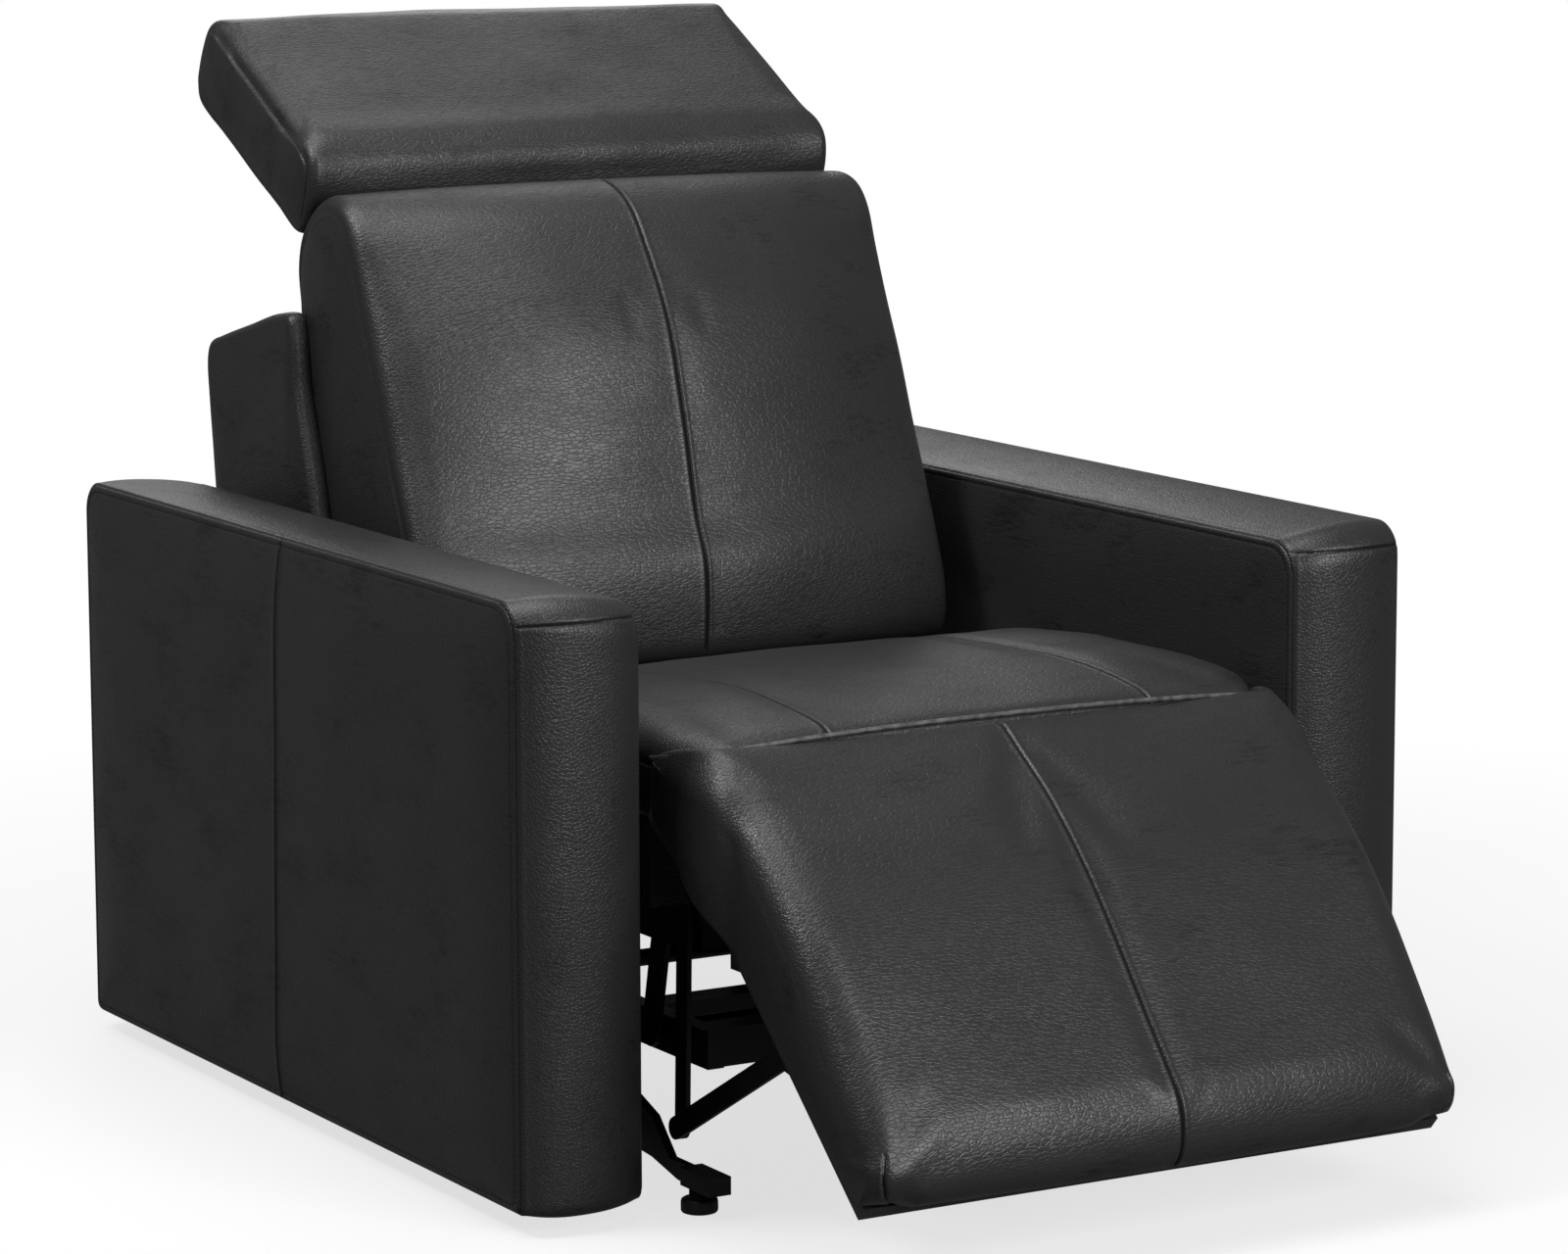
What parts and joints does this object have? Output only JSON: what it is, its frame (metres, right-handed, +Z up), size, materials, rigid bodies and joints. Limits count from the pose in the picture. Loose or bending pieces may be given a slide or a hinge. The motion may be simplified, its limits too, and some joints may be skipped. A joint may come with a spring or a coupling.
{
  "type": "powered cinema recliner armchair",
  "caption": "Padded leather recliner with box arms, a headrest that tips, and a back and leg rest that open on coupled steel links as the seat glides.",
  "frame": {"origin": "on the floor under the middle of the part's bounding box, as pictured with the leg rest half open", "axes": "+Z up, -Y the way the sitter faces, +X the sitter's left; +Y is the longest extent and +X the shortest"},
  "size_m": [1.0246, 1.4809, 1.0749],
  "materials": {
    "leather": "semi-matte charcoal pebbled leather with double-stitched seams, over foam and timber",
    "black_steel": "black powder-coated steel bar, plate and box tube",
    "zinc_rod": "zinc-plated drive rod with a forked end",
    "timber_frame": "plain unfinished plywood, out of sight",
    "plastic_housing": "matt black moulded housing",
    "rocker": "satin black rocker, without marks",
    "foot": "black moulded levelling foot"
  },
  "bodies": {
    "base": {"arm_frame_left": "timber_frame", "arm_outer_panel_left": "leather", "arm_inner_panel_left": "leather", "arm_band_left": "leather", "arm_frame_right": "timber_frame", "arm_outer_panel_right": "leather", "arm_inner_panel_right": "leather", "arm_band_right": "leather", "keypad_plate": "plastic_housing", "base_rail_left": "black_steel", "base_rail_right": "black_steel", "front_cross_tube": "black_steel", "bearer_front": "black_steel", "bearer_rear": "black_steel", "leg_front_left": "black_steel", "foot_front_left": "foot", "leg_front_right": "black_steel", "foot_front_right": "foot", "leg_rear_left": "black_steel", "foot_rear_left": "foot", "leg_rear_right": "black_steel", "foot_rear_right": "foot", "control_box": "plastic_housing", "glide_motor": "black_steel"},
    "leg_rocker": {"rocker_leg_rest": "rocker"},
    "back_rocker": {"rocker_back": "rocker"},
    "carry_front": {"carry_links_front": "black_steel"},
    "carry_rear": {"carry_links_rear": "black_steel"},
    "seat": {"seat_plate_left": "black_steel", "seat_plate_right": "black_steel", "seat_tube_front": "black_steel", "seat_tube_rear": "black_steel", "seat_front_board": "leather", "seat_deck": "timber_frame", "seat_cushion": "leather", "leg_rest_bridge": "leather", "leg_rest_rail": "black_steel", "leg_rest_motor": "plastic_housing"},
    "leg_rest": {"leg_rest_board": "leather", "leg_rest_bracket_left": "black_steel", "leg_rest_bracket_right": "black_steel", "leg_rest_pad": "leather"},
    "leg_crank": {"leg_rest_crank": "black_steel"},
    "leg_link_left": {"leg_rest_link_left": "black_steel"},
    "leg_link_right": {"leg_rest_link_right": "black_steel"},
    "leg_rod": {"leg_rest_rod": "zinc_rod"},
    "glide_rod": {"glide_rod": "zinc_rod"},
    "back": {"back_board": "timber_frame", "back_bracket_left": "black_steel", "back_bracket_right": "black_steel", "back_cushion": "leather", "back_rear_panel": "leather", "back_side_panel_left": "leather", "back_side_panel_right": "leather", "headrest_bracket": "black_steel"},
    "strut_left": {"back_strut_left": "black_steel"},
    "strut_right": {"back_strut_right": "black_steel"},
    "headrest": {"headrest_board": "leather", "headrest_pad": "leather", "headrest_hinge": "black_steel"}
  },
  "joints": [
    {"name": "glide", "type": "hinge", "parent": "base", "child": "carry_front", "pos_m": [0, -0.21, 0.139], "axis": [1, 0, 0], "range_deg": [-28, 30]},
    {"name": "glide_rear", "type": "hinge", "parent": "base", "child": "carry_rear", "pos_m": [0, 0.08, 0.139], "axis": [1, 0, 0], "range_deg": [-28, 30]},
    {"name": "seat_level", "type": "hinge", "parent": "carry_front", "child": "seat", "pos_m": [0, -0.23703, 0.26616], "axis": [1, 0, 0], "range_deg": [-30, 28]},
    {"name": "recline", "type": "hinge", "parent": "seat", "child": "back", "pos_m": [0, 0.175, 0.337], "axis": [-1, 0, 0], "range_deg": [-16.8, 18]},
    {"name": "strut_left", "type": "hinge", "parent": "carry_rear", "child": "strut_left", "pos_m": [0, 0.05297, 0.29016], "axis": [1, 0, 0], "range_deg": [-30, 28]},
    {"name": "strut_right", "type": "hinge", "parent": "carry_rear", "child": "strut_right", "pos_m": [0, 0.05297, 0.29016], "axis": [1, 0, 0], "range_deg": [-30, 28]},
    {"name": "leg_rest", "type": "hinge", "parent": "seat", "child": "leg_rest", "pos_m": [0, -0.515, 0.46], "axis": [-1, 0, 0], "range_deg": [-38, 45], "deforming": ["leg_rest_bridge"]},
    {"name": "leg_crank", "type": "hinge", "parent": "seat", "child": "leg_crank", "pos_m": [0, -0.304, 0.344], "axis": [-1, 0, 0], "range_deg": [-38, 45]},
    {"name": "leg_link_left", "type": "hinge", "parent": "leg_crank", "child": "leg_link_left", "pos_m": [0, -0.296, 0.063], "axis": [-1, 0, 0], "range_deg": [-45, 38]},
    {"name": "leg_link_right", "type": "hinge", "parent": "leg_crank", "child": "leg_link_right", "pos_m": [0, -0.296, 0.063], "axis": [-1, 0, 0], "range_deg": [-45, 38]},
    {"name": "leg_drive", "type": "slide", "parent": "seat", "child": "leg_rod", "axis": [0, -1, 0], "range_m": [-0.02773, 0.03284]},
    {"name": "glide_drive", "type": "slide", "parent": "base", "child": "glide_rod", "axis": [0, -1, 0], "range_m": [-0.02117, 0.02268]},
    {"name": "headrest_tilt", "type": "hinge", "parent": "back", "child": "headrest", "pos_m": [0, 0.48496, 0.88939], "axis": [1, 0, 0], "range_deg": [-12, 22]},
    {"name": "leg_rest_button", "type": "hinge", "parent": "base", "child": "leg_rocker", "pos_m": [-0.3655, -0.252, 0.54], "axis": [0, 0, 1], "range_deg": [-3.5, 3.5], "stiffness_Nm_per_rad": 0.12},
    {"name": "back_button", "type": "hinge", "parent": "base", "child": "back_rocker", "pos_m": [-0.3655, -0.204, 0.54], "axis": [0, 0, 1], "range_deg": [-3.5, 3.5], "stiffness_Nm_per_rad": 0.12}
  ],
  "couplings": [
    {"joint": "glide_rear", "follows": "glide", "ratio": 1},
    {"joint": "seat_level", "follows": "glide", "ratio": -1},
    {"joint": "recline", "follows": "glide", "ratio": 0.6},
    {"joint": "strut_left", "follows": "glide", "ratio": -1},
    {"joint": "strut_right", "follows": "glide", "ratio": -1},
    {"joint": "glide_drive", "follows": "glide", "m_per_rad": 0.0433},
    {"joint": "leg_crank", "follows": "leg_rest", "ratio": 1},
    {"joint": "leg_link_left", "follows": "leg_rest", "ratio": -1},
    {"joint": "leg_link_right", "follows": "leg_rest", "ratio": -1},
    {"joint": "leg_drive", "follows": "leg_rest", "m_per_rad": 0.0418}
  ]
}
